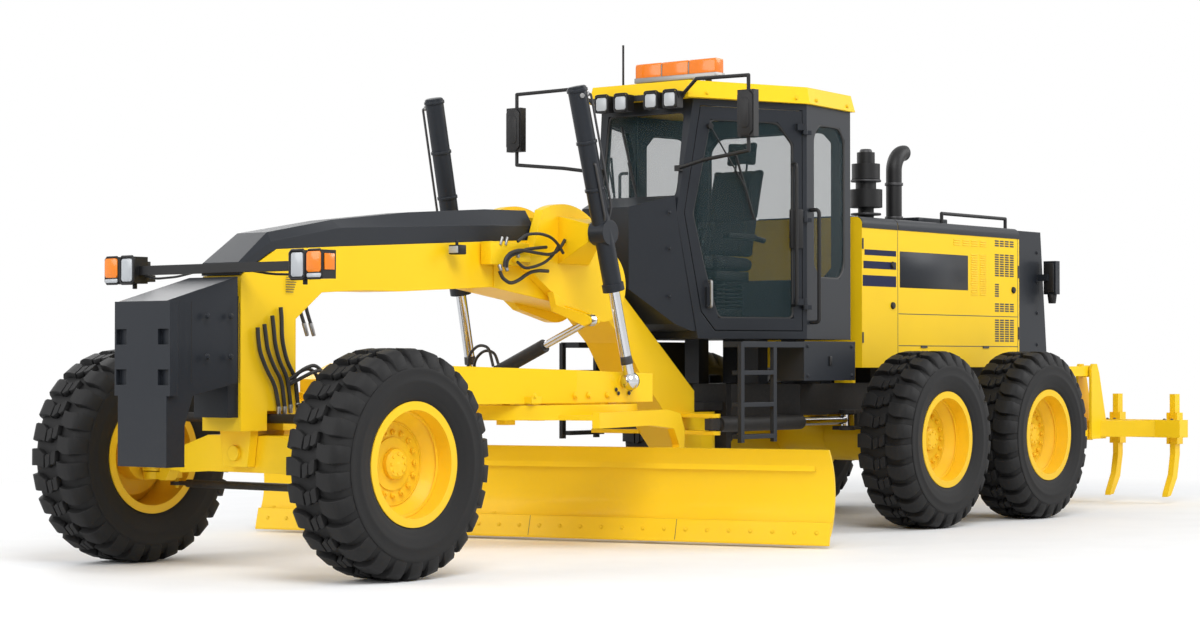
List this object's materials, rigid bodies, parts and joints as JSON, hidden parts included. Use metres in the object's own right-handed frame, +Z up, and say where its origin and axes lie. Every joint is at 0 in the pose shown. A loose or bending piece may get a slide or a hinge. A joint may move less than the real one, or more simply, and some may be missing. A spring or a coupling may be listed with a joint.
{
  "type": "six-wheel articulated motor grader",
  "caption": "Motor grader with articulated frame, leaning and steering front wheels, tandem drive, turning mid blade, enclosed cab, front push plate and rear ripper.",
  "frame": {"origin": "on the floor under the articulation pin, on the machine's centreline", "axes": "+X forward, +Y to the machine's left, +Z up"},
  "size_m": [10.758, 4.2102, 3.5006],
  "materials": {
    "yellow": "gloss yellow machine paint, lightly dusty",
    "black": "satin black paint",
    "dark_grey": "satin dark grey paint",
    "frame_black": "black chassis paint",
    "tyre": "black rubber with earth dust",
    "rim_yellow": "yellow wheel paint",
    "rod_chrome": "hard chrome",
    "steel": "worn bare steel",
    "seat": "dark seat cloth",
    "plastic": "black plastic",
    "lamp": "lamp housings and lenses"
  },
  "bodies": {
    "rear": {"rear_frame": "frame_black", "tandem_axle": "yellow", "engine_block": "dark_grey", "hood": "yellow", "radiator_guard": "black", "stacks": "black", "cab_frame": "black", "cab_roof": "yellow", "cab_nose": "black", "cab_seat": "seat", "cab_console": "plastic", "cab_fittings": "lamp", "side_boxes": "dark_grey"},
    "front": {"front_frame": "yellow", "front_axle": "yellow", "frame_cover": "black", "headlamps": "black", "push_plate": "black", "saddle": "yellow"},
    "door_left": {"door_left": "black"},
    "door_right": {"door_right": "black"},
    "lean_left": {"lean_left": "yellow"},
    "lean_right": {"lean_right": "yellow"},
    "knuckle_left": {"knuckle_left": "yellow"},
    "knuckle_right": {"knuckle_right": "yellow"},
    "tie_rod_end": {"tie_rod_end": "steel"},
    "tie_rod": {"tie_rod": "dark_grey"},
    "lean_bar": {"lean_bar": "dark_grey"},
    "drawbar": {"drawbar": "yellow"},
    "circle": {"circle": "yellow"},
    "blade_carrier": {"blade_carrier": "yellow"},
    "moldboard": {"moldboard": "yellow"},
    "turn_barrel_left": {"turn_barrel_left": "black"},
    "turn_barrel_right": {"turn_barrel_right": "black"},
    "turn_rod_left": {"turn_rod_left": "rod_chrome"},
    "turn_rod_right": {"turn_rod_right": "rod_chrome"},
    "lift_barrel_left": {"lift_barrel_left": "black"},
    "lift_barrel_right": {"lift_barrel_right": "black"},
    "lift_rod_left": {"lift_rod_left": "rod_chrome"},
    "lift_rod_right": {"lift_rod_right": "rod_chrome"},
    "shift_rod": {"shift_rod": "rod_chrome"},
    "shift_barrel": {"shift_barrel": "black"},
    "ripper_arm": {"ripper_arm": "yellow"},
    "ripper_link": {"ripper_link": "yellow"},
    "ripper_frame": {"ripper_frame": "yellow", "ripper_shanks": "yellow"},
    "ripper_barrel": {"ripper_barrel": "black"},
    "ripper_rod": {"ripper_rod": "rod_chrome"},
    "wheel_front_left": {"tyre_front_left": "tyre", "rim_front_left": "rim_yellow"},
    "wheel_front_right": {"tyre_front_right": "tyre", "rim_front_right": "rim_yellow"},
    "wheel_tandem_front_left": {"tyre_tandem_front_left": "tyre", "rim_tandem_front_left": "rim_yellow"},
    "wheel_tandem_front_right": {"tyre_tandem_front_right": "tyre", "rim_tandem_front_right": "rim_yellow"},
    "wheel_tandem_rear_left": {"tyre_tandem_rear_left": "tyre", "rim_tandem_rear_left": "rim_yellow"},
    "wheel_tandem_rear_right": {"tyre_tandem_rear_right": "tyre", "rim_tandem_rear_right": "rim_yellow"}
  },
  "joints": [
    {"name": "articulation", "type": "hinge", "parent": "rear", "child": "front", "pos_m": [0, 0, 0.727], "axis": [0, 0, -1], "range_deg": [-25, 25]},
    {"name": "spin_front_left", "type": "hinge", "parent": "knuckle_left", "child": "wheel_front_left", "pos_m": [4.3, 1.0775, 0.65], "axis": [0, 1, 0], "continuous": true},
    {"name": "spin_tandem_front_left", "type": "hinge", "parent": "rear", "child": "wheel_tandem_front_left", "pos_m": [-1.4325, 1.0775, 0.65], "axis": [0, 1, 0], "continuous": true},
    {"name": "spin_tandem_rear_left", "type": "hinge", "parent": "rear", "child": "wheel_tandem_rear_left", "pos_m": [-2.9575, 1.0775, 0.65], "axis": [0, 1, 0], "continuous": true},
    {"name": "spin_front_right", "type": "hinge", "parent": "knuckle_right", "child": "wheel_front_right", "pos_m": [4.3, -1.0775, 0.65], "axis": [0, 1, 0], "continuous": true},
    {"name": "spin_tandem_front_right", "type": "hinge", "parent": "rear", "child": "wheel_tandem_front_right", "pos_m": [-1.4325, -1.0775, 0.65], "axis": [0, 1, 0], "continuous": true},
    {"name": "spin_tandem_rear_right", "type": "hinge", "parent": "rear", "child": "wheel_tandem_rear_right", "pos_m": [-2.9575, -1.0775, 0.65], "axis": [0, 1, 0], "continuous": true},
    {"name": "wheel_lean_left", "type": "hinge", "parent": "front", "child": "lean_left", "pos_m": [4.3, 0.69, 0.63], "axis": [1, 0, 0], "range_deg": [-16, 16]},
    {"name": "wheel_lean_right", "type": "hinge", "parent": "front", "child": "lean_right", "pos_m": [4.3, -0.69, 0.63], "axis": [1, 0, 0], "range_deg": [-16, 16]},
    {"name": "lean_bar_turn", "type": "hinge", "parent": "lean_left", "child": "lean_bar", "pos_m": [4.3, 0.69, 0.89], "axis": [1, 0, 0], "range_deg": [-17, 17]},
    {"name": "steer_left", "type": "hinge", "parent": "lean_left", "child": "knuckle_left", "pos_m": [4.3, 0.88, 0.65], "axis": [0, 0, 1], "range_deg": [-49, 49]},
    {"name": "steer_right", "type": "hinge", "parent": "lean_right", "child": "knuckle_right", "pos_m": [4.3, -0.88, 0.65], "axis": [0, 0, 1], "range_deg": [-49, 49]},
    {"name": "tie_rod_swivel", "type": "hinge", "parent": "knuckle_left", "child": "tie_rod_end", "pos_m": [4.12, 0.88, 0.478], "axis": [0, 0, 1], "range_deg": [-50, 50]},
    {"name": "tie_rod_tilt", "type": "hinge", "parent": "tie_rod_end", "child": "tie_rod", "pos_m": [4.12, 0.88, 0.478], "axis": [1, 0, 0], "range_deg": [-14, 14]},
    {"name": "door_left_hinge", "type": "hinge", "parent": "rear", "child": "door_left", "pos_m": [-0.27596, 0.79636, 2.25], "axis": [0, 0, 1], "range_deg": [0, 110]},
    {"name": "door_right_hinge", "type": "hinge", "parent": "rear", "child": "door_right", "pos_m": [-0.27596, -0.79636, 2.25], "axis": [0, 0, -1], "range_deg": [0, 110]},
    {"name": "turn_barrel_left_swing", "type": "hinge", "parent": "front", "child": "turn_barrel_left", "pos_m": [0.438, 0.5, 0.785], "axis": [0, 0, 1], "range_deg": [-20, 20]},
    {"name": "turn_rod_left_slide", "type": "slide", "parent": "turn_barrel_left", "child": "turn_rod_left", "axis": [-1, 0, 0], "range_m": [-0.22, 0.22]},
    {"name": "turn_barrel_right_swing", "type": "hinge", "parent": "front", "child": "turn_barrel_right", "pos_m": [0.438, -0.5, 0.785], "axis": [0, 0, 1], "range_deg": [-20, 20]},
    {"name": "turn_rod_right_slide", "type": "slide", "parent": "turn_barrel_right", "child": "turn_rod_right", "axis": [-1, 0, 0], "range_m": [-0.22, 0.22]},
    {"name": "drawbar_lift", "type": "hinge", "parent": "front", "child": "drawbar", "pos_m": [3.95, 0, 0.93], "axis": [0, -1, 0], "range_deg": [-10.5, 13.4]},
    {"name": "lift_barrel_left_swing", "type": "hinge", "parent": "front", "child": "lift_barrel_left", "pos_m": [1.84127, 0.6509, 2.056], "axis": [0, -1, 0], "range_deg": [-6, 7]},
    {"name": "lift_rod_left_slide", "type": "slide", "parent": "lift_barrel_left", "child": "lift_rod_left", "axis": [-0.2434, 0.0344, -0.9693], "range_m": [-0.43, 0.545]},
    {"name": "lift_barrel_right_swing", "type": "hinge", "parent": "front", "child": "lift_barrel_right", "pos_m": [1.84127, -0.6509, 2.056], "axis": [0, -1, 0], "range_deg": [-6, 7]},
    {"name": "lift_rod_right_slide", "type": "slide", "parent": "lift_barrel_right", "child": "lift_rod_right", "axis": [-0.2434, -0.0344, -0.9693], "range_m": [-0.43, 0.545]},
    {"name": "shift_rod_swing", "type": "hinge", "parent": "front", "child": "shift_rod", "pos_m": [1.8, 0.509, 1.492], "axis": [1, 0, 0], "range_deg": [-18, 23]},
    {"name": "shift_barrel_slide", "type": "slide", "parent": "shift_rod", "child": "shift_barrel", "axis": [0, -0.9193, -0.3936], "range_m": [-0.165, 0.21]},
    {"name": "circle_turn", "type": "hinge", "parent": "drawbar", "child": "circle", "pos_m": [1.89, 0, 0.9], "axis": [0, 0, 1], "range_deg": [-45, 45]},
    {"name": "blade_tip", "type": "hinge", "parent": "circle", "child": "blade_carrier", "pos_m": [1.11762, -0.2084, 0.26], "axis": [-0.2605, 0.9655, 0], "range_deg": [-5, 40]},
    {"name": "blade_side_shift", "type": "slide", "parent": "blade_carrier", "child": "moldboard", "axis": [-0.2605, 0.9655, 0], "range_m": [-0.601, 1.039]},
    {"name": "ripper_lift", "type": "hinge", "parent": "rear", "child": "ripper_arm", "pos_m": [-4.24, 0, 0.6], "axis": [0, 1, 0], "range_deg": [-25, 30]},
    {"name": "ripper_link_swing", "type": "hinge", "parent": "rear", "child": "ripper_link", "pos_m": [-4.24, 0, 1.137], "axis": [0, 1, 0], "range_deg": [-25, 30]},
    {"name": "ripper_frame_level", "type": "hinge", "parent": "ripper_arm", "child": "ripper_frame", "pos_m": [-4.9, 0, 0.6], "axis": [0, 1, 0], "range_deg": [-30, 25]},
    {"name": "ripper_barrel_swing", "type": "hinge", "parent": "rear", "child": "ripper_barrel", "pos_m": [-4.275, 0, 1.4], "axis": [0, 1, 0], "range_deg": [-9, 11]},
    {"name": "ripper_rod_slide", "type": "slide", "parent": "ripper_barrel", "child": "ripper_rod", "axis": [-0.5769, 0, -0.8168], "range_m": [-0.26, 0.216]}
  ],
  "couplings": [
    {"joint": "wheel_lean_right", "follows": "wheel_lean_left", "ratio": 1},
    {"joint": "lean_bar_turn", "follows": "wheel_lean_left", "ratio": -1},
    {"joint": "steer_right", "follows": "steer_left", "ratio": 1},
    {"joint": "tie_rod_swivel", "follows": "steer_left", "ratio": -1},
    {"joint": "tie_rod_tilt", "follows": "wheel_lean_left", "ratio": -0.7852},
    {"joint": "turn_barrel_left_swing", "follows": "articulation", "ratio": 0.75},
    {"joint": "turn_rod_left_slide", "follows": "articulation", "m_per_rad": 0.4931},
    {"joint": "turn_barrel_right_swing", "follows": "articulation", "ratio": 0.75},
    {"joint": "turn_rod_right_slide", "follows": "articulation", "m_per_rad": -0.4931},
    {"joint": "lift_barrel_left_swing", "follows": "drawbar_lift", "ratio": 0.42},
    {"joint": "lift_rod_left_slide", "follows": "drawbar_lift", "m_per_rad": 2.309},
    {"joint": "lift_barrel_right_swing", "follows": "drawbar_lift", "ratio": 0.42},
    {"joint": "lift_rod_right_slide", "follows": "drawbar_lift", "m_per_rad": 2.309},
    {"joint": "shift_rod_swing", "follows": "drawbar_lift", "ratio": 1.65},
    {"joint": "shift_barrel_slide", "follows": "drawbar_lift", "m_per_rad": 0.87491},
    {"joint": "ripper_link_swing", "follows": "ripper_lift", "ratio": 1},
    {"joint": "ripper_frame_level", "follows": "ripper_lift", "ratio": -1},
    {"joint": "ripper_barrel_swing", "follows": "ripper_lift", "ratio": 0.335},
    {"joint": "ripper_rod_slide", "follows": "ripper_lift", "m_per_rad": -0.4934}
  ]
}
